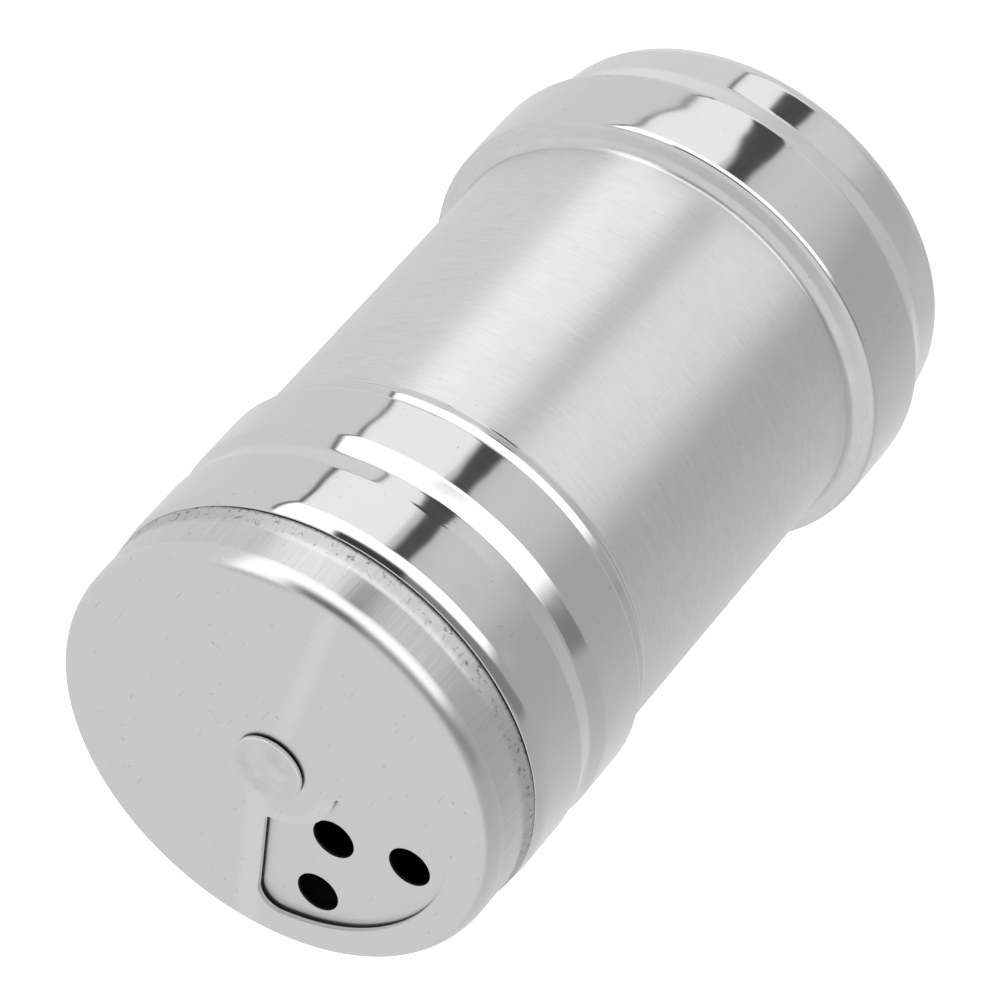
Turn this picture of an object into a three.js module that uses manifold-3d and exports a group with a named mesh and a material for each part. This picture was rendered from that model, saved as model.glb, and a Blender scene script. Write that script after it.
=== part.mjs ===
// Rotary-lid spice shaker in drawn stainless steel, millimetres, +Z up.
// The origin is the centre of the base, on the surface the jar stands on.
import * as THREE from 'three';
import { mergeVertices } from 'three/addons/utils/BufferGeometryUtils.js';
import Module from 'manifold-3d';

const wasm = await Module();
wasm.setup();

// Sheet metal, running clearance, facets round a shell, and the longest chord along a fillet
const WALL = 0.5;
const GAP = 0.3;
const RINGS = 48;
const SMALL_RINGS = 24;
const FINE_CHORD = 0.75;
const COARSE_CHORD = 2.0;

// Jar: foot, belly, waist, a bead under the collar, two collar lobes with a groove between, shoulder, neck
const FOOT_R = 22.05;
const FOOT_TOP_R = 23.05;
const FOOT_TOP_Z = 6.8;
const BELLY_R = 24.5;
const BELLY_FROM_Z = 9.8;
const BELLY_TO_Z = 18.05;
const WAIST_R = 22.25;
const WAIST_FROM_Z = 18.45;
const WAIST_TO_Z = 57.4;
const BEAD_R = 22.85;
const BEAD_Z = 58.4;
const BEAD_TOP_R = 22.7;
const BEAD_TOP_Z = 59.45;
const COLLAR_R = 23.3;
const COLLAR_FROM_Z = 59.8;
const GROOVE_R = 22.85;
const GROOVE_Z = 68.1;
const GROOVE_HALF = 2.1;
const SHOULDER_Z = 76.63;
const SHOULDER_TOP_R = 22.93;
const SHOULDER_TOP_Z = 77.65;
const NECK_R = 21.33;
const MOUTH_Z = 84.0;

// Rolled safe edge round the mouth
const LIP_W = 1.1;
const LIP_H = 1.2;
const LIP_FILLET = 0.35;

// Inner lid, pressed over the neck
const LID_TOP_Z = 84.9;
const LID_R = 22.13;
const LID_EDGE_Z = 78.4;
const LID_FILLET = 1.3;

// Rotary cap, turning on the rivet one clearance outside the inner lid; its shoulder is an
// ellipse taller than it is deep, and its skirt flares a little at the edge
const CAP_TOP_Z = LID_TOP_Z + GAP + WALL;
const CAP_R = LID_R + GAP + WALL;
const CAP_EDGE_Z = 77.95;
const CAP_SHOULDER_W = 1.3;
const CAP_SHOULDER_H = 2.7;
const CAP_FLARE = 0.2;
const CAP_FLARE_Z = 79.85;

// Window in the cap: a ring sector with rounded corners, in degrees from +X
const WINDOW_IN_R = 6.8;
const WINDOW_OUT_R = 19.0;
const WINDOW_FROM = 112.8;
const WINDOW_TO = 203.2;
const WINDOW_OUT_FILLET = 2.2;
const WINDOW_IN_FILLET = 0.6;

// Shaker holes: three zones a quarter turn apart, the fourth quarter is blank
const ZONE_MID = 160.0;
const ZONE_TURN = 90;
const INNER_ROW_R = 9.25;
const MIDDLE_ROW_R = 12.6;
const OUTER_ROW_R = 15.45;
const LARGE_HOLE_R = 2.17;
const MEDIUM_HOLE_R = 1.25;
const FINE_HOLE_R = 0.7;

// Rivet, and the dished spring washer under the inner lid
const RIVET_HEAD_R = 3.57;
const RIVET_HEAD_T = 0.65;
const RIVET_CROWN = 0.12;
const RIVET_FILLET = 0.25;
const RIVET_TOP_Z = CAP_TOP_Z + GAP / 2 + RIVET_HEAD_T;
const RIVET_SHANK_R = 1.5;
const RIVET_TAIL_R = 2.4;
const RIVET_TAIL_T = 0.8;
const RIVET_FOOT_Z = 82.0;
const BORE_R = RIVET_SHANK_R + GAP;
const WASHER_R = 4.2;
const WASHER_T = 0.45;
const WASHER_DISH = 0.35;

const rad = THREE.MathUtils.degToRad;
const deg = THREE.MathUtils.radToDeg;

function steel(color, roughness) {
  return new THREE.MeshStandardMaterial({ color, roughness, metalness: 1 });
}

// Joins equal vertices and drops the collapsed triangles that a lathe leaves on its axis.
function weld(geometry) {
  const bare = geometry.clone();
  bare.deleteAttribute('normal');
  bare.deleteAttribute('uv');
  const joined = mergeVertices(bare, 1e-4);
  const index = joined.getIndex().array;
  const kept = [];
  for (let i = 0; i < index.length; i += 3) {
    const [a, b, c] = [index[i], index[i + 1], index[i + 2]];
    if (a !== b && b !== c && c !== a) kept.push(a, b, c);
  }
  joined.setIndex(kept);
  return joined;
}

// A solid of revolution about +Z from a profile of (radius, height) points.
function revolve(profile, rings) {
  const geometry = new THREE.LatheGeometry(profile, rings);
  geometry.rotateX(Math.PI / 2);
  return weld(geometry);
}

// Points along an elliptical arc between two angles in degrees, ends included.
function arc(cx, cy, a, b, from, to, steps) {
  return Array.from({ length: steps + 1 }, (unused, i) => {
    const t = rad(from + ((to - from) * i) / steps);
    return new THREE.Vector2(cx + a * Math.cos(t), cy + b * Math.sin(t));
  });
}

// How far the fillet at each [x, y, fillet] corner of a path runs along its two sides.
// Fillets that would overlap on a side are cut down to fit it.
function reaches(corners) {
  const at = corners.map(([x, y]) => new THREE.Vector2(x, y));
  const wanted = corners.map(([, , fillet], i) => {
    if (!fillet) return 0;
    const back = at[i - 1].clone().sub(at[i]).normalize();
    const ahead = at[i + 1].clone().sub(at[i]).normalize();
    return fillet / Math.tan(Math.acos(back.dot(ahead)) / 2);
  });
  const share = (i) => Math.min(1, (0.98 * at[i].distanceTo(at[i + 1])) / (wanted[i] + wanted[i + 1]));
  return wanted.map((reach, i) => (reach ? reach * Math.min(share(i - 1), share(i)) : 0));
}

// Replaces each [x, y, fillet] corner of a path by an arc tangent to its two sides.
function roundCorners(corners, chord) {
  const reach = reaches(corners);
  const points = [];
  corners.forEach(([x, y], i) => {
    const corner = new THREE.Vector2(x, y);
    if (!reach[i]) {
      points.push(corner);
      return;
    }
    const back = new THREE.Vector2(...corners[i - 1]).sub(corner).normalize();
    const ahead = new THREE.Vector2(...corners[i + 1]).sub(corner).normalize();
    const half = Math.acos(back.dot(ahead)) / 2;
    const fillet = reach[i] * Math.tan(half);
    const middle = back.clone().add(ahead).normalize();
    const centre = corner.clone().addScaledVector(middle, fillet / Math.sin(half));
    const start = corner.clone().addScaledVector(back, reach[i]).sub(centre);
    const end = corner.clone().addScaledVector(ahead, reach[i]).sub(centre);
    const turn = Math.atan2(start.cross(end), start.dot(end));
    const first = deg(start.angle());
    const steps = Math.ceil((Math.abs(turn) * fillet) / chord);
    points.push(...arc(centre.x, centre.y, fillet, fillet, first, first + deg(turn), steps));
  });
  return points;
}

// Moves every side of an open path of [x, y, fillet] corners to its left by one wall.
function insetCorners(corners) {
  return corners.slice(1, -1).map(([x, y, fillet], i) => {
    const before = new THREE.Vector2(...corners[i]);
    const here = new THREE.Vector2(x, y);
    const after = new THREE.Vector2(...corners[i + 2]);
    const into = here.clone().sub(before).normalize();
    const out = after.clone().sub(here).normalize();
    const left = new THREE.Vector2(-into.y - out.y, into.x + out.x).normalize();
    const mitre = WALL / Math.cos(Math.atan2(into.cross(out), into.dot(out)) / 2);
    const moved = here.addScaledVector(left, mitre);
    const bend = into.cross(out) > 0 ? -WALL : WALL;
    return [moved.x, moved.y, Math.max(fillet + bend, WALL / 2)];
  });
}

function toManifold(geometry) {
  const vertProperties = new Float32Array(geometry.getAttribute('position').array);
  const triVerts = new Uint32Array(geometry.getIndex().array);
  return new wasm.Manifold(new wasm.Mesh({ numProp: 3, vertProperties, triVerts }));
}

function fromManifold(solid) {
  const mesh = solid.getMesh();
  const geometry = new THREE.BufferGeometry();
  geometry.setAttribute('position', new THREE.BufferAttribute(mesh.vertProperties, 3));
  geometry.setIndex(new THREE.BufferAttribute(mesh.triVerts, 1));
  return geometry;
}

// An upright prism over a closed outline, from one height to another.
function prism(outline, from, to) {
  const shape = new THREE.Shape(outline);
  const geometry = new THREE.ExtrudeGeometry(shape, { depth: to - from, bevelEnabled: false });
  geometry.translate(0, 0, from);
  return weld(geometry);
}

function cut(body, tools) {
  let solid = toManifold(body);
  for (const tool of tools) {
    solid = solid.subtract(toManifold(tool));
  }
  return fromManifold(solid);
}

// Outer arc, radial side, inner arc, radial side, with a fillet at each of the four corners.
function windowOutline() {
  const fo = WINDOW_OUT_FILLET;
  const fi = WINDOW_IN_FILLET;
  const outR = WINDOW_OUT_R - fo;
  const inR = WINDOW_IN_R + fi;
  const outTurn = deg(Math.asin(fo / outR));
  const inTurn = deg(Math.asin(fi / inR));
  const fillet = (r, angle, f, from, to, steps) => {
    return arc(r * Math.cos(rad(angle)), r * Math.sin(rad(angle)), f, f, from, to, steps);
  };
  const outFirst = WINDOW_FROM + outTurn;
  const outLast = WINDOW_TO - outTurn;
  const inFirst = WINDOW_FROM + inTurn;
  const inLast = WINDOW_TO - inTurn;
  return [
    ...fillet(outR, outFirst, fo, WINDOW_FROM - 90, outFirst, 5),
    ...arc(0, 0, WINDOW_OUT_R, WINDOW_OUT_R, outFirst, outLast, 14).slice(1, -1),
    ...fillet(outR, outLast, fo, outLast, WINDOW_TO + 90, 5),
    ...fillet(inR, inLast, fi, WINDOW_TO + 90, inLast + 180, 2),
    ...arc(0, 0, WINDOW_IN_R, WINDOW_IN_R, inLast, inFirst, 8).slice(1, -1),
    ...fillet(inR, inFirst, fi, inFirst + 180, WINDOW_FROM + 270, 2),
  ];
}

// A row of round drills through the inner lid's plate, centred on one direction.
function drillRow(holeR, rowR, mid, step, count, sides) {
  const start = mid - (step * (count - 1)) / 2;
  return Array.from({ length: count }, (unused, i) => {
    const a = rad(start + step * i);
    const outline = arc(rowR * Math.cos(a), rowR * Math.sin(a), holeR, holeR, 0, 360, sides);
    return prism(outline.slice(0, -1), LID_TOP_Z - 2 * WALL, LID_TOP_Z + WALL);
  });
}

function jarBody() {
  const corners = [
    [0, 0],
    [FOOT_R, 0, 3.4],
    [FOOT_TOP_R, FOOT_TOP_Z, 3.5],
    [BELLY_R, BELLY_FROM_Z, 1.6],
    [BELLY_R, BELLY_TO_Z, 1.1],
    [WAIST_R, WAIST_FROM_Z, 0.9],
    [WAIST_R, WAIST_TO_Z, 0.8],
    [BEAD_R, BEAD_Z, 0.5],
    [BEAD_TOP_R, BEAD_TOP_Z, 0.15],
    [COLLAR_R, COLLAR_FROM_Z, 0.5],
    [COLLAR_R, GROOVE_Z - GROOVE_HALF, 2.0],
    [GROOVE_R, GROOVE_Z, 1.2],
    [COLLAR_R, GROOVE_Z + GROOVE_HALF, 2.0],
    [COLLAR_R, SHOULDER_Z, 5.5],
    [SHOULDER_TOP_R, SHOULDER_TOP_Z, 0.15],
    [NECK_R, SHOULDER_TOP_Z, 0.35],
    [NECK_R, MOUTH_Z],
  ];
  const lip = [
    [NECK_R, MOUTH_Z - LIP_H],
    [NECK_R, MOUTH_Z, LIP_FILLET],
    [NECK_R - LIP_W, MOUTH_Z, LIP_FILLET],
    [NECK_R - LIP_W, MOUTH_Z - LIP_H, LIP_FILLET],
    [NECK_R - WALL, MOUTH_Z - LIP_H],
  ];
  const inner = [[0, WALL], ...insetCorners(corners), [NECK_R - WALL, MOUTH_Z - LIP_H]];
  return revolve([
    ...roundCorners(corners, FINE_CHORD).slice(0, -1),
    ...roundCorners(lip, LIP_FILLET).slice(1, -1),
    ...roundCorners(inner, COARSE_CHORD).reverse(),
  ], RINGS);
}

function innerLid() {
  const plateZ = LID_TOP_Z - WALL;
  const shell = revolve([
    ...roundCorners([
      [BORE_R, plateZ],
      [LID_R - WALL, plateZ, LID_FILLET - WALL],
      [LID_R - WALL, LID_EDGE_Z],
    ], FINE_CHORD),
    ...roundCorners([
      [LID_R, LID_EDGE_Z],
      [LID_R, LID_TOP_Z, LID_FILLET],
      [BORE_R, LID_TOP_Z],
    ], LID_FILLET / 3),
    new THREE.Vector2(BORE_R, plateZ),
  ], RINGS);
  const mediumMid = ZONE_MID + ZONE_TURN;
  const fineMid = ZONE_MID + 2 * ZONE_TURN;
  return cut(shell, [
    ...drillRow(LARGE_HOLE_R, INNER_ROW_R, ZONE_MID, 0, 1, 20),
    ...drillRow(LARGE_HOLE_R, OUTER_ROW_R, ZONE_MID, 50.3, 2, 20),
    ...drillRow(MEDIUM_HOLE_R, INNER_ROW_R, mediumMid, 30, 2, 12),
    ...drillRow(MEDIUM_HOLE_R, OUTER_ROW_R, mediumMid, 22, 3, 12),
    ...drillRow(FINE_HOLE_R, INNER_ROW_R, fineMid, 20, 3, 8),
    ...drillRow(FINE_HOLE_R, MIDDLE_ROW_R, fineMid, 17, 4, 8),
    ...drillRow(FINE_HOLE_R, OUTER_ROW_R, fineMid, 15, 5, 8),
  ]);
}

function rotaryCap() {
  const plateZ = CAP_TOP_Z - WALL;
  const shoulderZ = CAP_TOP_Z - CAP_SHOULDER_H;
  const shoulderR = CAP_R - CAP_SHOULDER_W;
  const edgeR = CAP_R + CAP_FLARE;
  const shell = revolve([
    new THREE.Vector2(BORE_R, plateZ),
    ...arc(shoulderR, shoulderZ, CAP_SHOULDER_W - WALL, CAP_SHOULDER_H - WALL, 90, 0, 4),
    new THREE.Vector2(CAP_R - WALL, CAP_FLARE_Z),
    new THREE.Vector2(edgeR - WALL, CAP_EDGE_Z),
    new THREE.Vector2(edgeR, CAP_EDGE_Z),
    new THREE.Vector2(CAP_R, CAP_FLARE_Z),
    ...arc(shoulderR, shoulderZ, CAP_SHOULDER_W, CAP_SHOULDER_H, 0, 90, 7),
    new THREE.Vector2(BORE_R, CAP_TOP_Z),
    new THREE.Vector2(BORE_R, plateZ),
  ], RINGS);
  return cut(shell, [prism(windowOutline(), CAP_TOP_Z - 2 * WALL, CAP_TOP_Z + WALL)]);
}

function centreRivet() {
  const headZ = RIVET_TOP_Z - RIVET_HEAD_T;
  const tailZ = RIVET_FOOT_Z + RIVET_TAIL_T;
  return revolve(roundCorners([
    [0, RIVET_FOOT_Z],
    [RIVET_TAIL_R, RIVET_FOOT_Z, RIVET_FILLET],
    [RIVET_TAIL_R, tailZ, RIVET_FILLET],
    [RIVET_SHANK_R, tailZ],
    [RIVET_SHANK_R, headZ],
    [RIVET_HEAD_R, headZ],
    [RIVET_HEAD_R, RIVET_TOP_Z - RIVET_CROWN, RIVET_FILLET],
    [0, RIVET_TOP_Z],
  ], RIVET_FILLET / 2), SMALL_RINGS);
}

function springWasher() {
  const rimZ = LID_TOP_Z - WALL - GAP;
  const boreZ = rimZ - WASHER_DISH;
  return revolve([
    new THREE.Vector2(BORE_R, boreZ - WASHER_T),
    new THREE.Vector2(WASHER_R, rimZ - WASHER_T),
    new THREE.Vector2(WASHER_R, rimZ),
    new THREE.Vector2(BORE_R, boreZ),
    new THREE.Vector2(BORE_R, boreZ - WASHER_T),
  ], SMALL_RINGS);
}

const shaker = new THREE.Group();

function addPart(name, geometry, material) {
  geometry.computeVertexNormals();
  const mesh = new THREE.Mesh(geometry, material);
  mesh.name = name;
  shaker.add(mesh);
}

addPart('jar_body', jarBody(), steel(0xc9c9c9, 0.18));
addPart('inner_lid', innerLid(), steel(0xc4c4c4, 0.3));
addPart('rotary_cap', rotaryCap(), steel(0xc2c2c2, 0.35));
addPart('centre_rivet', centreRivet(), steel(0xc8c8c8, 0.25));
addPart('spring_washer', springWasher(), steel(0xb4b4b4, 0.4));

export default shaker;
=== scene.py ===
import math

import bmesh
import bpy
from mathutils import Matrix, Vector


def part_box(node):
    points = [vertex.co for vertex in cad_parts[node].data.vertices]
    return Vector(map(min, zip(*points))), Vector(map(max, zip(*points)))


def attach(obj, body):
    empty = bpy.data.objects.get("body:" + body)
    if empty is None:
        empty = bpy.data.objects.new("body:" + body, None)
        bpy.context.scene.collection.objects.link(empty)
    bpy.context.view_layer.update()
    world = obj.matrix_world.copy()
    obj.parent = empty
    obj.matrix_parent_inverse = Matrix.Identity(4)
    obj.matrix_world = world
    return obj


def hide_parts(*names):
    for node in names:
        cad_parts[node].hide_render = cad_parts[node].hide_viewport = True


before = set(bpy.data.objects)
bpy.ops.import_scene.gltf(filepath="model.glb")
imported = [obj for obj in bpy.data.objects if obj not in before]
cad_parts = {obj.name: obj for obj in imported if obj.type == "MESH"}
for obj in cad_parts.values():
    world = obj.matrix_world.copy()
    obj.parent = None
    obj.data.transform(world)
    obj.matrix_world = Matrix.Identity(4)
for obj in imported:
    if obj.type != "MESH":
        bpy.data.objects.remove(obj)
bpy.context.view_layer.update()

# Lengths are written in millimetres and scaled once, where a mesh is made.
MM = 0.001
WALL = 0.5

# Jar profile, from the foot up: the corners, and the fillets that round them
FOOT_R = 22.05
FOOT_FILLET = 3.4
FOOT_TOP_R = 23.05
FOOT_TOP_Z = 6.8
FOOT_TOP_FILLET = 3.5
BELLY_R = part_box("jar_body")[1].x / MM
BELLY_FROM_Z = 9.8
BELLY_FROM_FILLET = 1.6
BELLY_MID_Z = 13.6
BELLY_FILLET = 130.0
BELLY_SWELL = 0.09
BELLY_TO_Z = 17.25
BELLY_TO_FILLET = 2.5
RIM_R = 24.33
RIM_Z = 17.95
RIM_FILLET = 0.6
WAIST_R = 22.25
WAIST_FROM_Z = 18.6
WAIST_FROM_FILLET = 1.2
WAIST_TO_Z = 57.4
WAIST_TO_FILLET = 0.8
BEAD_R = 22.85
BEAD_Z = 58.4
BEAD_FILLET = 0.5
BEAD_TOP_R = 22.7
BEAD_TOP_Z = 59.45
COLLAR_R = 23.3
COLLAR_FROM_Z = 59.8
COLLAR_FROM_FILLET = 0.5
GROOVE_R = 22.85
GROOVE_Z = 68.1
GROOVE_HALF = 2.1
GROOVE_FILLET = 1.2
GROOVE_EDGE_FILLET = 2.0
SHOULDER_Z = 76.63
SHOULDER_FILLET = 5.5
SHOULDER_TOP_R = 22.93
SHOULDER_TOP_Z = 77.65
CREASE_FILLET = 0.15
NECK_R = 21.33
NECK_FILLET = 0.35
MOUTH_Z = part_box("jar_body")[1].z / MM
LIP_W = 1.1
LIP_H = 1.2
LIP_FILLET = 0.45

# Where the jar's finishes change
OUTSIDE_R = WAIST_R - 0.05
LEDGE_FROM_Z = RIM_Z - 0.1
LEDGE_TO_Z = WAIST_FROM_Z + 0.95
BRUSHED_TO_Z = WAIST_TO_Z - 1.2

# Inner lid
LID_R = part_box("inner_lid")[1].x / MM
LID_EDGE_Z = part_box("inner_lid")[0].z / MM
LID_TOP_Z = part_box("inner_lid")[1].z / MM
LID_FILLET = 1.3
LID_SHEET = 0.3
LID_EDGE_ROLL = 0.05
LARGE_HOLE_R = 2.17
MEDIUM_HOLE_R = 1.25
FINE_HOLE_R = 0.7
LARGE_MID = 160.0
MEDIUM_MID = LARGE_MID + 90
FINE_MID = LARGE_MID + 180
INNER_ROW_R = 9.25
MIDDLE_ROW_R = 12.6
OUTER_ROW_R = 15.45
HOLES_END_R = OUTER_ROW_R + 4.0

# Rows of holes: radius of a hole, radius of the row, its middle angle, degrees from hole to hole, how many
HOLE_ROWS = [
    (LARGE_HOLE_R, INNER_ROW_R, LARGE_MID, 0, 1),
    (LARGE_HOLE_R, OUTER_ROW_R, LARGE_MID, 50.3, 2),
    (MEDIUM_HOLE_R, INNER_ROW_R, MEDIUM_MID, 30, 2),
    (MEDIUM_HOLE_R, OUTER_ROW_R, MEDIUM_MID, 22, 3),
    (FINE_HOLE_R, INNER_ROW_R, FINE_MID, 20, 3),
    (FINE_HOLE_R, MIDDLE_ROW_R, FINE_MID, 17, 4),
    (FINE_HOLE_R, OUTER_ROW_R, FINE_MID, 15, 5),
]

# Rotary cap
CAP_FLARE = 0.2
CAP_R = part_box("rotary_cap")[1].x / MM - CAP_FLARE
CAP_EDGE_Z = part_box("rotary_cap")[0].z / MM
CAP_TOP_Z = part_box("rotary_cap")[1].z / MM
CAP_FLARE_Z = 79.85
CAP_FLARE_FILLET = 8.0
CAP_EDGE_FILLET = 0.12
CAP_EDGE_ROLL = 0.14
CAP_SHOULDER_W = 1.3
CAP_SHOULDER_H = 2.7
CAP_SHOULDER_Z = CAP_TOP_Z - CAP_SHOULDER_H
CAP_SIDE_TO_Z = CAP_SHOULDER_Z - 0.2
CAP_SKIRT_TO_Z = CAP_SHOULDER_Z + 0.05
# Angle in degrees of the line along which the painted sheen streak crosses the cap face
SHEEN_STREAK_ANGLE = 101.6
WINDOW_IN_R = 6.8
WINDOW_OUT_R = 19.0
WINDOW_FROM = 112.8
WINDOW_TO = 203.2
WINDOW_OUT_FILLET = 2.2
WINDOW_IN_FILLET = 0.6

# Rivet and washer
RIVET_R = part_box("centre_rivet")[1].x / MM
RIVET_TOP_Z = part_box("centre_rivet")[1].z / MM
RIVET_FOOT_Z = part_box("centre_rivet")[0].z / MM
RIVET_HEAD_Z = CAP_TOP_Z + 0.1
RIVET_HEAD_FILLET = 0.14
RIVET_LEAN = 0.07
RIVET_DOME = 0.13
RIVET_RIM_FILLET = 0.24
RIVET_SHANK_R = 1.5
RIVET_TAIL_R = 2.4
RIVET_TAIL_T = 0.8
RIVET_TAIL_FILLET = 0.35
RIVET_TAIL_TOP_FILLET = 0.3
RIVET_CHORD = 0.04
BORE_R = 1.8
WASHER_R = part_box("spring_washer")[1].x / MM
WASHER_TOP_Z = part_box("spring_washer")[1].z / MM
WASHER_T = 0.45
WASHER_DISH = 0.35
WASHER_EDGE_ROLL = 0.06

# Camera, aimed down at this elevation and rolled, both in degrees
CAMERA_PLACE = (0.27, -493.97, 438.40)
CAMERA_ELEVATION = 38.5
CAMERA_ROLL = 138.48
CAMERA_LENS = 243.2

# Studio: how bright each thing in it is
ROOM_LEFT = 0.48
ROOM_RIGHT = 0.785
CEILING = 0.80
CARD = 1.6
CARD_FOOT = 0.55
BOARD = 1.1
BOARD_EDGE = 0.12
DARK_BAND = 0.27
DARK_BAND_MIDDLE = 0.05
GREY_BAND = 0.55
UPRIGHT = 0.08
GROUND = 0.70
GROUND_BEHIND_LEFT = 0.55
GROUND_BEHIND_RIGHT = 0.9
PAPER = 0.9

# Tone of the bare steel
STEEL = 0.72


# ---------------------------------------------------------------- outlines

def arc(cx, cy, a, b, first, last, steps):
    """Points of an ellipse with half widths a and b, from one angle in degrees to another."""
    points = []
    for i in range(steps + 1):
        t = math.radians(first + (last - first) * i / steps)
        points.append(Vector((cx + a * math.cos(t), cy + b * math.sin(t))))
    return points


def reaches(corners):
    """How far the fillet at each corner runs along its sides, cut down where two would overlap."""
    at = [Vector(corner[:2]) for corner in corners]
    wanted = []
    for i, (_, _, *fillet) in enumerate(corners):
        half = (at[i - 1] - at[i]).angle(at[i + 1] - at[i]) / 2 if fillet else math.pi / 2
        wanted.append(fillet[0] / math.tan(half) if fillet else 0)
    fits = [
        min(1, 0.98 * (at[i + 1] - at[i]).length / max(wanted[i] + wanted[i + 1], 1e-9))
        for i in range(len(at) - 1)
    ]
    return [reach * min(fits[i - 1], fits[i]) if reach else 0 for i, reach in enumerate(wanted)]


def rounded(corners, chord=0.12):
    """Replaces each (x, y, fillet) corner of an open path by an arc tangent to its two sides."""
    points = []
    for i, reach in enumerate(reaches(corners)):
        corner = Vector(corners[i][:2])
        if not reach:
            points.append(corner)
            continue
        back = (Vector(corners[i - 1][:2]) - corner).normalized()
        ahead = (Vector(corners[i + 1][:2]) - corner).normalized()
        half = back.angle(ahead) / 2
        fillet = reach * math.tan(half)
        centre = corner + (back + ahead).normalized() * fillet / math.sin(half)
        start = corner + back * reach - centre
        turn = -start.angle_signed(corner + ahead * reach - centre)
        first = math.degrees(math.atan2(start.y, start.x))
        steps = max(3, math.ceil(abs(turn) * fillet / chord))
        points += arc(*centre, fillet, fillet, first, first + math.degrees(turn), steps)
    return points


def inset(corners):
    """Moves every side of an open path of (x, y, fillet) corners to its left by one wall."""
    moved = []
    for before, here, after in zip(corners, corners[1:], corners[2:]):
        into = (Vector(here[:2]) - Vector(before[:2])).normalized()
        out = (Vector(after[:2]) - Vector(here[:2])).normalized()
        left = Vector((-into.y - out.y, into.x + out.x)).normalized()
        turn = -into.angle_signed(out)
        place = Vector(here[:2]) + left * WALL / math.cos(turn / 2)
        fillet = here[2] - math.copysign(WALL, turn)
        moved.append((*place, max(fillet, WALL / 2)))
    return moved


def window_outline():
    """Outer arc, radial side, inner arc, radial side, with a fillet at each of the four corners."""
    out_r = WINDOW_OUT_R - WINDOW_OUT_FILLET
    in_r = WINDOW_IN_R + WINDOW_IN_FILLET
    out_turn = math.degrees(math.asin(WINDOW_OUT_FILLET / out_r))
    in_turn = math.degrees(math.asin(WINDOW_IN_FILLET / in_r))

    def fillet(r, angle, f, first, last):
        t = math.radians(angle)
        return arc(r * math.cos(t), r * math.sin(t), f, f, first, last, 10)

    out_first, out_last = WINDOW_FROM + out_turn, WINDOW_TO - out_turn
    in_first, in_last = WINDOW_FROM + in_turn, WINDOW_TO - in_turn
    return [
        *fillet(out_r, out_first, WINDOW_OUT_FILLET, WINDOW_FROM - 90, out_first),
        *arc(0, 0, WINDOW_OUT_R, WINDOW_OUT_R, out_first, out_last, 40)[1:-1],
        *fillet(out_r, out_last, WINDOW_OUT_FILLET, out_last, WINDOW_TO + 90),
        *fillet(in_r, in_last, WINDOW_IN_FILLET, WINDOW_TO + 90, in_last + 180),
        *arc(0, 0, WINDOW_IN_R, WINDOW_IN_R, in_last, in_first, 24)[1:-1],
        *fillet(in_r, in_first, WINDOW_IN_FILLET, in_first + 180, WINDOW_FROM + 270),
    ]


# ---------------------------------------------------------------- meshes

def add_object(name, bm):
    bmesh.ops.recalc_face_normals(bm, faces=bm.faces)
    mesh = bpy.data.meshes.new(name)
    bm.to_mesh(mesh)
    bm.free()
    obj = bpy.data.objects.new(name, mesh)
    bpy.context.scene.collection.objects.link(obj)
    return obj


def revolve(name, profile, rings=192):
    """A closed solid of revolution about Z from a path of (radius, height)."""
    bm = bmesh.new()
    verts = [bm.verts.new((r * MM, 0, z * MM)) for r, z in profile]
    edges = [bm.edges.new(pair) for pair in zip(verts, verts[1:])]
    if profile[0][0] > 0:
        edges.append(bm.edges.new((verts[-1], verts[0])))
    bmesh.ops.spin(
        bm, geom=verts + edges, cent=(0, 0, 0), axis=(0, 0, 1), angle=2 * math.pi, steps=rings,
        use_merge=True,
    )
    bmesh.ops.remove_doubles(bm, verts=bm.verts, dist=1e-7)
    return add_object(name, bm)


def prism(name, outline, low, high):
    """An outline of (x, y) as an upright solid from one height to another."""
    bm = bmesh.new()
    face = bm.faces.new([bm.verts.new((x * MM, y * MM, low * MM)) for x, y in outline])
    top = bmesh.ops.extrude_face_region(bm, geom=[face])["geom"]
    moved = [g for g in top if isinstance(g, bmesh.types.BMVert)]
    bmesh.ops.translate(bm, verts=moved, vec=(0, 0, (high - low) * MM))
    return add_object(name, bm)


def apply_modifiers(obj):
    depsgraph = bpy.context.evaluated_depsgraph_get()
    mesh = bpy.data.meshes.new_from_object(obj.evaluated_get(depsgraph))
    obj.modifiers.clear()
    obj.data = mesh


def cut(obj, tools):
    """Subtracts the tools from an object, then deletes them."""
    bm = bmesh.new()
    for tool in tools:
        bm.from_mesh(tool.data)
        bpy.data.objects.remove(tool)
    cutter = add_object("cutter", bm)
    boolean = obj.modifiers.new("cut", "BOOLEAN")
    boolean.operation = "DIFFERENCE"
    boolean.solver = "EXACT"
    boolean.object = cutter
    apply_modifiers(obj)
    bpy.data.objects.remove(cutter)


def soften(obj, width, angle=35):
    """Rolls the cut edges over, then shades round surfaces smooth and flat ones flat."""
    if width:
        bevel = obj.modifiers.new("edge", "BEVEL")
        bevel.width = width * MM
        bevel.segments = 3
        bevel.limit_method = "ANGLE"
        bevel.angle_limit = math.radians(angle)
        apply_modifiers(obj)
    obj.data.shade_smooth()
    obj.data.set_sharp_from_angle(angle=math.radians(angle))
    obj.modifiers.new("normals", "WEIGHTED_NORMAL").keep_sharp = True


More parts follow.
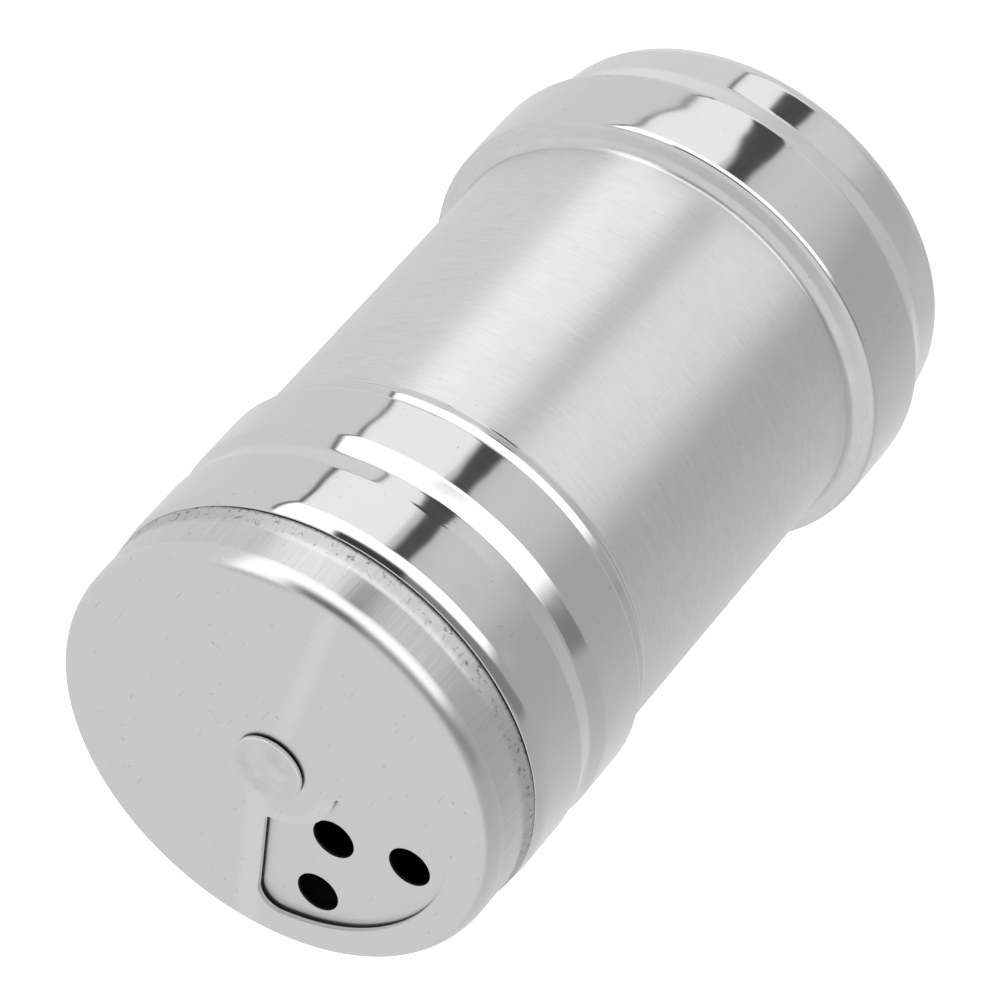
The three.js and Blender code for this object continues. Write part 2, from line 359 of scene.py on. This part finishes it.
def make_jar():
    corners = [
        (0, 0),
        (FOOT_R, 0, FOOT_FILLET),
        (FOOT_TOP_R, FOOT_TOP_Z, FOOT_TOP_FILLET),
        (BELLY_R - BELLY_SWELL, BELLY_FROM_Z, BELLY_FROM_FILLET),
        (BELLY_R, BELLY_MID_Z, BELLY_FILLET),
        (BELLY_R - BELLY_SWELL, BELLY_TO_Z, BELLY_TO_FILLET),
        (RIM_R, RIM_Z, RIM_FILLET),
        (WAIST_R, WAIST_FROM_Z, WAIST_FROM_FILLET),
        (WAIST_R, WAIST_TO_Z, WAIST_TO_FILLET),
        (BEAD_R, BEAD_Z, BEAD_FILLET),
        (BEAD_TOP_R, BEAD_TOP_Z, CREASE_FILLET),
        (COLLAR_R, COLLAR_FROM_Z, COLLAR_FROM_FILLET),
        (COLLAR_R, GROOVE_Z - GROOVE_HALF, GROOVE_EDGE_FILLET),
        (GROOVE_R, GROOVE_Z, GROOVE_FILLET),
        (COLLAR_R, GROOVE_Z + GROOVE_HALF, GROOVE_EDGE_FILLET),
        (COLLAR_R, SHOULDER_Z, SHOULDER_FILLET),
        (SHOULDER_TOP_R, SHOULDER_TOP_Z, CREASE_FILLET),
        (NECK_R, SHOULDER_TOP_Z, NECK_FILLET),
        (NECK_R, MOUTH_Z),
    ]
    lip = [
        (NECK_R, MOUTH_Z - LIP_H),
        (NECK_R, MOUTH_Z, LIP_FILLET),
        (NECK_R - LIP_W, MOUTH_Z, LIP_FILLET),
        (NECK_R - LIP_W, MOUTH_Z - LIP_H, LIP_FILLET),
        (NECK_R - WALL, MOUTH_Z - LIP_H),
    ]
    inner = [(0, WALL), *inset(corners), (NECK_R - WALL, MOUTH_Z - LIP_H)]
    profile = rounded(corners)[:-1] + rounded(lip)[1:-1] + rounded(inner, 0.3)[::-1]
    jar = revolve("jar_shell", profile)
    finish_jar(jar)
    soften(jar, 0)
    return jar


def finish_jar(jar):
    """Polished lobes, a brushed waist, the step under it, and satin inside and on the base."""
    finishes = [steel_polished(), steel_brushed(), steel_satin(), steel_ledge()]
    for finish in finishes:
        jar.data.materials.append(finish)
    _, brushed, satin, ledge = range(len(finishes))
    for face in jar.data.polygons:
        centre = face.center / MM
        if math.hypot(centre.x, centre.y) < OUTSIDE_R:
            face.material_index = satin
        elif LEDGE_FROM_Z < centre.z < LEDGE_TO_Z:
            face.material_index = ledge
        elif LEDGE_TO_Z <= centre.z < BRUSHED_TO_Z:
            face.material_index = brushed


def drill_row(hole_r, row_r, mid, step, count):
    """Drills for one row of holes, as HOLE_ROWS gives it."""
    tools = []
    for i in range(count):
        t = math.radians(mid - step * (count - 1) / 2 + step * i)
        outline = arc(row_r * math.cos(t), row_r * math.sin(t), hole_r, hole_r, 0, 360, 48)[:-1]
        tools.append(prism("drill", outline, LID_TOP_Z - 2 * WALL, LID_TOP_Z + WALL))
    return tools


def darken_holes(obj):
    """Paints shade on the drilled walls with a dark material in the second material slot."""
    obj.data.materials.append(steel_cut_painted_shade())
    for face in obj.data.polygons:
        upright = abs(face.normal.z) < 0.5
        if upright and math.hypot(face.center.x, face.center.y) < HOLES_END_R * MM:
            face.material_index = 1


def make_inner_lid():
    plate_z = LID_TOP_Z - LID_SHEET
    outer = [(LID_R, LID_EDGE_Z), (LID_R, LID_TOP_Z, LID_FILLET), (BORE_R, LID_TOP_Z)]
    inner = [(BORE_R, plate_z), (LID_R - WALL, plate_z, LID_FILLET - WALL), (LID_R - WALL, LID_EDGE_Z)]
    lid = revolve("lid_plate", rounded(outer) + rounded(inner))
    cut(lid, [drill for row in HOLE_ROWS for drill in drill_row(*row)])
    lid.data.materials.append(steel_satin())
    darken_holes(lid)
    soften(lid, LID_EDGE_ROLL)
    return lid


def make_cap():
    shoulder_r = CAP_R - CAP_SHOULDER_W
    inner_w, inner_h = CAP_SHOULDER_W - WALL, CAP_SHOULDER_H - WALL
    edge_r = CAP_R + CAP_FLARE
    profile = [
        *rounded([
            (edge_r - WALL, CAP_EDGE_Z),
            (edge_r, CAP_EDGE_Z, CAP_EDGE_FILLET),
            (CAP_R, CAP_FLARE_Z, CAP_FLARE_FILLET),
            (CAP_R, CAP_SIDE_TO_Z),
        ])[1:],
        *arc(shoulder_r, CAP_SHOULDER_Z, CAP_SHOULDER_W, CAP_SHOULDER_H, 0, 90, 36),
        Vector((BORE_R, CAP_TOP_Z)),
        Vector((BORE_R, CAP_TOP_Z - WALL)),
        *arc(shoulder_r, CAP_SHOULDER_Z, inner_w, inner_h, 90, 0, 12),
        Vector((CAP_R - WALL, CAP_FLARE_Z)),
        Vector((edge_r - WALL, CAP_EDGE_Z)),
    ]
    cap = revolve("cap_shell", profile)
    cut(cap, [prism("window", window_outline(), CAP_TOP_Z - 2 * WALL, CAP_TOP_Z + WALL)])
    cap.data.materials.append(steel_cap())
    cap.data.materials.append(steel_skirt())
    for face in cap.data.polygons:
        if face.center.z < CAP_SKIRT_TO_Z * MM:
            face.material_index = 1
    soften(cap, CAP_EDGE_ROLL)
    return cap


def make_rivet():
    tail_z = RIVET_FOOT_Z + RIVET_TAIL_T
    profile = rounded([
        (0, RIVET_FOOT_Z),
        (RIVET_TAIL_R, RIVET_FOOT_Z, RIVET_TAIL_FILLET),
        (RIVET_TAIL_R, tail_z, RIVET_TAIL_TOP_FILLET),
        (RIVET_SHANK_R, tail_z),
        (RIVET_SHANK_R, RIVET_HEAD_Z),
        (RIVET_R, RIVET_HEAD_Z, RIVET_HEAD_FILLET),
        (RIVET_R - RIVET_LEAN, RIVET_TOP_Z - RIVET_DOME, RIVET_RIM_FILLET),
        (0, RIVET_TOP_Z),
    ], RIVET_CHORD)
    rivet = revolve("rivet", profile, rings=96)
    rivet.data.materials.append(steel_rivet())
    soften(rivet, 0)
    return rivet


def make_washer():
    bore_z = WASHER_TOP_Z - WASHER_DISH
    profile = [
        Vector((WASHER_R, WASHER_TOP_Z - WASHER_T)),
        Vector((WASHER_R, WASHER_TOP_Z)),
        Vector((BORE_R, bore_z)),
        Vector((BORE_R, bore_z - WASHER_T)),
    ]
    washer = revolve("spring_washer_part", profile, rings=96)
    washer.data.materials.append(steel_satin())
    soften(washer, WASHER_EDGE_ROLL)
    return washer


# ---------------------------------------------------------------- materials

class Nodes:
    """Short calls for making nodes in one tree."""

    def __init__(self, tree):
        self.tree = tree

    def add(self, kind, **settings):
        node = self.tree.nodes.new(kind)
        for key, value in settings.items():
            setattr(node, key, value)
        return node

    def set(self, socket, value):
        if isinstance(value, bpy.types.NodeSocket):
            self.tree.links.new(value, socket)
        else:
            socket.default_value = value

    def math(self, operation, *values):
        node = self.add("ShaderNodeMath", operation=operation)
        for socket, value in zip(node.inputs, values):
            self.set(socket, value)
        return node.outputs[0]

    def ramp(self, value, low, high, to_low=0.0, to_high=1.0):
        """Goes smoothly from to_low, where the value is low, to to_high, where it is high."""
        node = self.add("ShaderNodeMapRange", interpolation_type="SMOOTHSTEP")
        for socket, number in zip(node.inputs, (value, low, high, to_low, to_high)):
            self.set(socket, number)
        return node.outputs[0]

    def product(self, *factors):
        result = factors[0]
        for factor in factors[1:]:
            result = self.math("MULTIPLY", result, factor)
        return result

    def between(self, value, low, high, soft):
        """1 where the value is from low to high, fading to 0 over twice soft at each end."""
        rise = self.ramp(value, low - soft, low + soft)
        fall = self.ramp(value, high - soft, high + soft, 1.0, 0.0)
        return self.product(rise, fall)

    def vector(self, x, y, z):
        node = self.add("ShaderNodeCombineXYZ")
        for socket, value in zip(node.inputs, (x, y, z)):
            self.set(socket, value)
        return node.outputs[0]

    def noise(self, vector, scale, detail, roughness):
        node = self.add("ShaderNodeTexNoise")
        self.set(node.inputs["Vector"], vector)
        self.set(node.inputs["Scale"], scale)
        self.set(node.inputs["Detail"], detail)
        self.set(node.inputs["Roughness"], roughness)
        return node.outputs["Fac"]

    def mix(self, factor, a, b):
        node = self.add("ShaderNodeMix", data_type="FLOAT")
        self.set(node.inputs["Factor"], factor)
        self.set(node.inputs["A"], a)
        self.set(node.inputs["B"], b)
        return node.outputs["Result"]


class Steel:
    """A stainless steel material being put together: fields over the object, then tone, roughness and bump.
    The turn of the anisotropy is 0.25 for brushing round the axis and 0 for lines along it."""

    def __init__(self, name, roughness, anisotropy=0.0, turn=0.25):
        self.material = bpy.data.materials.new(name)
        self.material.use_nodes = True
        n = self.n = Nodes(self.material.node_tree)
        self.shader = self.material.node_tree.nodes["Principled BSDF"]
        n.set(self.shader.inputs["Metallic"], 1.0)
        n.set(self.shader.inputs["Anisotropic"], anisotropy)
        n.set(self.shader.inputs["Anisotropic Rotation"], turn)
        tangent = n.add("ShaderNodeTangent", direction_type="RADIAL", axis="Z")
        n.set(self.shader.inputs["Tangent"], tangent.outputs[0])
        self.place = n.add("ShaderNodeTexCoord").outputs["Object"]
        split = n.add("ShaderNodeSeparateXYZ")
        n.set(split.inputs[0], self.place)
        self.x, self.y, self.z = split.outputs
        squares = n.math("ADD", n.math("MULTIPLY", self.x, self.x), n.math("MULTIPLY", self.y, self.y))
        self.r = n.math("MAXIMUM", n.math("SQRT", squares), 1e-5)
        self.tone = STEEL
        self.roughness = roughness
        self.heights = []

    def noise(self, scale, detail, roughness):
        """Noise with this many features per metre."""
        return self.n.noise(self.place, scale, detail, roughness)

    def lines(self, per_radian, per_metre, detail=2.0):
        """Noise laid round the axis, with so many features per radian, and per metre along and outwards."""
        n = self.n
        c = n.product(n.math("DIVIDE", self.x, self.r), per_radian)
        s = n.product(n.math("DIVIDE", self.y, self.r), per_radian)
        across = n.product(n.math("ADD", self.z, self.r), per_metre)
        return n.noise(n.vector(c, s, across), 1.0, detail, 0.6)

    def over(self, value, low, high):
        """0 up to the place low and 1 from the place high, both in mm."""
        return self.n.ramp(value, low * MM, high * MM)

    def beside(self, angle, low, high, where):
        """A stripe along the line through the axis at an angle, from low to high mm clockwise of it."""
        n = self.n
        t = math.radians(angle)
        off = n.math("SUBTRACT", n.product(self.x, math.sin(t)), n.product(self.y, math.cos(t)))
        return n.product(n.between(off, low * MM, high * MM, 0.6 * MM), where)

    def centred(self, field, amount):
        """Makes a field from 0 to 1 swing evenly about 0, by amount in all."""
        return self.n.product(self.n.math("SUBTRACT", field, 0.5), amount)

    def shade(self, *factors):
        """Adds the product of the factors to the tone."""
        self.tone = self.n.math("ADD", self.tone, self.n.product(*factors))

    def roughen(self, *factors):
        """Adds the product of the factors to the roughness."""
        self.roughness = self.n.math("ADD", self.roughness, self.n.product(*factors))

    def bump(self, field, depth):
        """Adds a height field whose full swing is depth, in mm."""
        self.heights.append(self.n.product(field, depth))

    def finish(self):
        n = self.n
        colour = n.add("ShaderNodeCombineColor")
        for socket, tint in zip(colour.inputs, (1.0, 1.0, 0.995)):
            n.set(socket, n.product(self.tone, tint))
        n.set(self.shader.inputs["Base Color"], colour.outputs[0])
        n.set(self.shader.inputs["Roughness"], n.math("MAXIMUM", self.roughness, 0.03))
        height = 0.0
        for field in self.heights:
            height = n.math("ADD", height, field)
        bump = n.add("ShaderNodeBump")
        n.set(bump.inputs["Strength"], 1.0)
        n.set(bump.inputs["Distance"], MM)
        n.set(bump.inputs["Height"], height)
        n.set(self.shader.inputs["Normal"], bump.outputs[0])
        return self.material

    def handle(self, smudges, specks, scratches):
        """Marks of use: smudges change the gloss, specks are dirt, scratches are short fine lines."""
        n = self.n
        broad = self.noise(130.0, 4.0, 0.6)
        small = self.noise(700.0, 3.0, 0.6)
        self.roughen(self.centred(broad, smudges))
        self.shade(self.centred(small, smudges * 0.25))
        dirt = n.ramp(self.noise(1500.0, 2.0, 0.5), 0.70, 0.78)
        self.shade(dirt, -specks)
        turned = n.add("ShaderNodeMapping")
        n.set(turned.inputs["Vector"], self.place)
        n.set(turned.inputs["Rotation"], (0.3, 0.5, 0.9))
        n.set(turned.inputs["Scale"], (2600.0, 300.0, 2600.0))
        fine = n.ramp(n.noise(turned.outputs[0], 1.0, 1.0, 0.4), 0.73, 0.80)
        self.shade(fine, -scratches)


def once(make):
    """Makes a material at the first call and gives the same one after that."""
    made = []

    def get():
        if not made:
            made.append(make())
        return made[0]
    return get


@once
def steel_polished():
    """Bright rolled lobes with a slight waviness left by the forming."""
    s = Steel("steel_polished", roughness=0.085)
    s.handle(smudges=0.10, specks=0.15, scratches=0.05)
    s.bump(s.noise(130.0, 1.0, 0.4), depth=0.16)
    s.bump(s.lines(per_radian=14.0, per_metre=9000.0), depth=0.00035)
    return s.finish()


@once
def steel_brushed():
    """The waist: short fine brush strokes round the jar."""
    s = Steel("steel_brushed", roughness=0.39, anisotropy=0.8)
    s.handle(smudges=0.08, specks=0.10, scratches=0.04)
    s.shade(0.06)
    strokes = s.lines(per_radian=12.0, per_metre=5500.0, detail=3.0)
    s.shade(s.centred(strokes, 0.18))
    s.shade(s.centred(s.lines(per_radian=6.0, per_metre=1500.0), 0.06))
    s.roughen(s.centred(s.lines(per_radian=5.0, per_metre=2500.0), 0.12))
    s.bump(strokes, depth=0.001)
    return s.finish()


@once
def steel_ledge():
    """The step between belly and waist, where the brushing runs out."""
    s = Steel("steel_ledge", roughness=0.29, anisotropy=0.4)
    s.handle(smudges=0.10, specks=0.12, scratches=0.05)
    strokes = s.lines(per_radian=10.0, per_metre=5000.0, detail=3.0)
    s.shade(s.centred(strokes, 0.16))
    s.bump(strokes, depth=0.001)
    return s.finish()


@once
def steel_satin():
    """Plain mill finish, inside the jar and on the lid, with faint turning lines."""
    s = Steel("steel_satin", roughness=0.30, anisotropy=0.3)
    s.handle(smudges=0.10, specks=0.12, scratches=0.06)
    strokes = s.lines(per_radian=3.0, per_metre=9000.0)
    s.shade(s.centred(strokes, 0.03))
    s.bump(strokes, depth=0.0006)
    return s.finish()


@once
def steel_cap():
    """Satin face and shoulder, with painted highlights on the face: pale bands beside the window that stand
    in for light on its rolled edges, and a pale sheen streak beyond the rivet."""
    s = Steel("steel_cap", roughness=0.25, anisotropy=0.1)
    n = s.n
    s.handle(smudges=0.10, specks=0.14, scratches=0.08)
    s.shade(s.centred(s.lines(per_radian=3.0, per_metre=9000.0), 0.02))
    painted_sheen_streak = s.beside(SHEEN_STREAK_ANGLE, -0.8, 0.8, s.over(s.y, -2.0, -3.0))
    side_roll_highlight = s.beside(WINDOW_FROM, -0.1, 2.0, s.over(s.y, 4.0, 5.0))
    near_rivet = n.between(s.r, (WINDOW_IN_R - 1.2) * MM, WINDOW_IN_R * MM, 0.3 * MM)
    to_window = n.product(s.over(s.x, -1.5, -3.5), s.over(s.y, -3.4, -1.2))
    inner_roll_highlight = n.product(near_rivet, to_window, 0.6)
    painted_highlights = n.math("MAXIMUM", n.math("MAXIMUM", painted_sheen_streak, side_roll_highlight), inner_roll_highlight)
    face = s.over(s.z, CAP_TOP_Z - 1.1, CAP_TOP_Z - 0.3)
    # Painted highlights: the face is made lighter along the sheen streak and the rolled-edge bands.
    s.shade(painted_highlights, face, 0.05)
    return s.finish()


@once
def steel_skirt():
    """The cap's skirt: upright draw lines, a rougher flare with grime specks, and painted shade in patches
    along its lower edge.
    """
    s = Steel("steel_skirt", roughness=0.22, anisotropy=0.6, turn=0.0)
    s.handle(smudges=0.10, specks=0.12, scratches=0.06)
    s.shade(-0.05)
    draw = s.lines(per_radian=90.0, per_metre=220.0, detail=3.0)
    s.shade(s.centred(draw, 0.20))
    s.bump(draw, depth=0.002)
    flare = s.over(s.z, CAP_FLARE_Z + 0.35, CAP_FLARE_Z - 0.65)
    s.roughen(flare, 0.22)
    s.shade(flare, -0.10)
    grime = s.n.ramp(s.noise(1700.0, 4.0, 0.7), 0.55, 0.66)
    s.shade(grime, flare, -0.34)
    # Painted shade: the lowest part of the skirt is darkened in patches, standing in for the shade in the
    # crevice at its edge.
    edge = s.over(s.z, CAP_EDGE_Z + 0.4, CAP_EDGE_Z + 0.1)
    s.shade(edge, s.noise(300.0, 3.0, 0.6), -0.5)
    return s.finish()


@once
def steel_rivet():
    """Mottled domed head, with a painted highlight on its rim and painted shade in the crevice round its
    side.
    """
    s = Steel("steel_rivet", roughness=0.17, anisotropy=0.1)
    n = s.n
    s.handle(smudges=0.12, specks=0.20, scratches=0.10)
    # Painted shade: the lowest part of the head's side is darkened where it meets the cap face.
    s.shade(n.ramp(s.z, (RIVET_HEAD_Z + 0.1) * MM, (RIVET_HEAD_Z + 0.18) * MM, -0.58, 0.0))
    on_top = s.over(s.z, RIVET_TOP_Z - 0.16, RIVET_TOP_Z - 0.08)
    s.shade(s.centred(s.noise(420.0, 4.0, 0.65), 0.30), on_top)
    s.shade(on_top, -0.05)
    # Painted highlight: a lighter band round the head's rim, standing in for light caught by its rounding.
    painted_rim_highlight = n.between(s.z, (RIVET_TOP_Z - 0.40) * MM, (RIVET_TOP_Z - 0.20) * MM, 0.04 * MM)
    s.shade(painted_rim_highlight, 0.22)
    s.bump(s.noise(300.0, 3.0, 0.5), depth=0.012)
    return s.finish()


@once
def steel_cut_painted_shade():
    """Punched edges, rough, and painted dark as shade inside the holes."""
    s = Steel("steel_cut_painted_shade", roughness=0.5)
    # Painted shade: the hole walls are darkened well below the bare steel.
    s.shade(-0.56)
    s.bump(s.noise(4000.0, 2.0, 0.5), depth=0.004)
    return s.finish()


# ---------------------------------------------------------------- studio

def make_camera():
    data = bpy.data.cameras.new("camera")
    data.lens = CAMERA_LENS
    data.sensor_width = 36
    data.clip_start = 0.05
    data.clip_end = 20
    camera = bpy.data.objects.new("camera", data)
    bpy.context.scene.collection.objects.link(camera)
    turn = Matrix.Rotation(math.radians(90 - CAMERA_ELEVATION), 4, "X")
    roll = Matrix.Rotation(math.radians(-CAMERA_ROLL), 4, "Z")
    camera.matrix_world = Matrix.Translation(Vector(CAMERA_PLACE) * MM) @ turn @ roll
    bpy.context.scene.camera = camera


def make_floor():
    bm = bmesh.new()
    bmesh.ops.create_circle(bm, cap_ends=True, segments=96, radius=4)
    floor = add_object("floor", bm)
    material = bpy.data.materials.new("floor_paper")
    material.use_nodes = True
    n = Nodes(material.node_tree)
    shader = material.node_tree.nodes["Principled BSDF"]
    n.set(shader.inputs["Base Color"], (PAPER, PAPER, PAPER, 1))
    n.set(shader.inputs["Roughness"], 0.9)
    n.set(shader.inputs["Emission Color"], (1, 1, 1, 1))
    n.set(shader.inputs["Emission Strength"], PAPER)
    floor.data.materials.append(material)
    floor.visible_glossy = False
    floor.visible_shadow = False


class Studio:
    """What surrounds the object, as a brightness for each direction: azimuth in degrees from the front
    to the right, and height in degrees. Each method lays its things over what is there already."""

    def __init__(self, world):
        self.world = world
        n = self.n = Nodes(world.node_tree)
        split = n.add("ShaderNodeSeparateXYZ")
        n.set(split.inputs[0], n.add("ShaderNodeTexCoord").outputs["Generated"])
        self.x, y, z = split.outputs
        self.azimuth = n.product(n.math("ARCTAN2", self.x, n.product(y, -1.0)), 180 / math.pi)
        self.height = n.product(n.math("ARCSINE", z), 180 / math.pi)
        self.level = CEILING

    def across(self, low, high, soft):
        return self.n.between(self.azimuth, low, high, soft)

    def up(self, low, high, soft):
        return self.n.between(self.height, low, high, soft)

    def patch(self, level, across, up):
        self.level = self.n.mix(self.n.product(across, up), self.level, level)

    def room(self):
        """Pale, dim at the left, with a glow in front under eye level and a little more far down."""
        n = self.n
        off_left = n.math("ABSOLUTE", n.math("ADD", self.azimuth, 55.0))
        walls = n.ramp(off_left, 0.0, 125.0, ROOM_LEFT, ROOM_RIGHT)
        level = n.mix(n.ramp(self.height, 2.0, 14.0), walls, self.level)
        glow = n.product(self.across(-32, 8, 14), n.ramp(self.height, 0.0, -10.0, 0.0, 0.16))
        level = n.math("ADD", level, glow)
        self.level = n.math("ADD", level, n.ramp(self.height, -44, -57, 0.0, 0.06))

    def cards(self):
        """A wide bright card low in front, and under it at the right a pale board with a dark edge."""
        n = self.n
        lower_edge = n.ramp(self.height, -38.5, -46.5, 70.0, 55.0)
        edge = n.math("ADD", lower_edge, n.ramp(self.height, -50.0, -58.0, 0.0, 7.0))
        past_edge = n.math("SUBTRACT", self.azimuth, edge)
        right = n.product(n.ramp(self.azimuth, 26.0, 28.5), n.ramp(past_edge, 1.0, -1.0))
        self.patch(BOARD, right, self.up(-72, -28, 5))
        self.patch(CARD_FOOT, self.across(-52, 24, 8), self.up(-36.3, -34.2, 0.6))
        wide = n.product(n.ramp(self.azimuth, -47.0, -29.0), n.ramp(past_edge, 1.0, -1.0))
        self.patch(CARD, wide, self.up(-33, -11, 1.5))
        far_right = n.product(right, n.ramp(self.azimuth, 42.0, 46.0))
        self.patch(CARD, far_right, self.up(-33, 8, 3))
        self.patch(BOARD_EDGE, n.between(past_edge, 0.4, 2.9, 0.8), self.up(-66, -10, 4))

    def bands(self):
        """A dark band at eye level that dips to the left, darkest in the middle, and a grey one over it."""
        n = self.n
        leftward = n.math("MINIMUM", self.azimuth, 0.0)
        dip = n.product(leftward, leftward, 0.004)
        arched = n.math("ADD", self.height, n.math("MINIMUM", dip, 16.0))
        self.patch(DARK_BAND, self.across(-68, 30, 6), n.between(arched, -9, 9, 3))
        self.patch(DARK_BAND_MIDDLE, self.across(9, 44, 2), self.up(-12, 9, 3))
        self.patch(GREY_BAND, self.across(44, 76, 5), self.up(12, 26, 5))

    def upright(self):
        """A dark upright left of the board, narrow in the middle and leaning right further down."""
        n = self.n
        from_middle = n.math("ABSOLUTE", n.math("ADD", self.height, 37.5))
        half = n.math("MINIMUM", n.math("MULTIPLY_ADD", from_middle, 0.8, 4.5), 10.5)
        centre = n.ramp(self.height, -37.0, -60.0, 18.3, 26.5)
        off = n.math("SUBTRACT", n.math("ABSOLUTE", n.math("SUBTRACT", self.azimuth, centre)), half)
        self.patch(UPRIGHT, n.ramp(off, 1.2, -1.2), self.up(-66, -33.5, 1.5))

    def ground(self):
        """Plain straight below, and uneven behind the object."""
        n = self.n
        self.level = n.mix(n.ramp(self.height, -72, -84), self.level, GROUND)
        behind = n.ramp(n.math("ABSOLUTE", self.azimuth), 100, 130)
        low = n.ramp(self.height, -46, -58)
        self.patch(n.ramp(self.x, -0.5, 0.4, GROUND_BEHIND_LEFT, GROUND_BEHIND_RIGHT), behind, low)

    def finish(self):
        """Lights the scene with the studio, and shows white where nothing stands in front of it."""
        n = self.n
        seen = n.add("ShaderNodeLightPath").outputs["Is Camera Ray"]
        level = n.mix(seen, self.level, 1.0)
        colour = n.add("ShaderNodeCombineColor")
        for socket in colour.inputs:
            n.set(socket, level)
        n.set(self.world.node_tree.nodes["Background"].inputs["Color"], colour.outputs[0])


def make_world():
    world = bpy.data.worlds.new("studio")
    bpy.context.scene.world = world
    world.use_nodes = True
    studio = Studio(world)
    studio.room()
    studio.cards()
    studio.bands()
    studio.upright()
    studio.ground()
    studio.finish()


def main():
    bpy.context.scene.view_settings.view_transform = "Standard"
    make_camera()
    make_floor()
    make_world()
    built = [
        (make_jar(), "jar", "jar_body", "jar_steel"),
        (make_inner_lid(), "lid", "inner_lid", "lid_steel"),
        (make_cap(), "cap", "rotary_cap", "cap_steel"),
        (make_rivet(), "lid", "centre_rivet", "rivet_steel"),
        (make_washer(), "lid", "spring_washer", "washer_steel"),
    ]
    for piece, body, node, slot in built:
        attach(piece, body)
        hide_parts(node)


main()
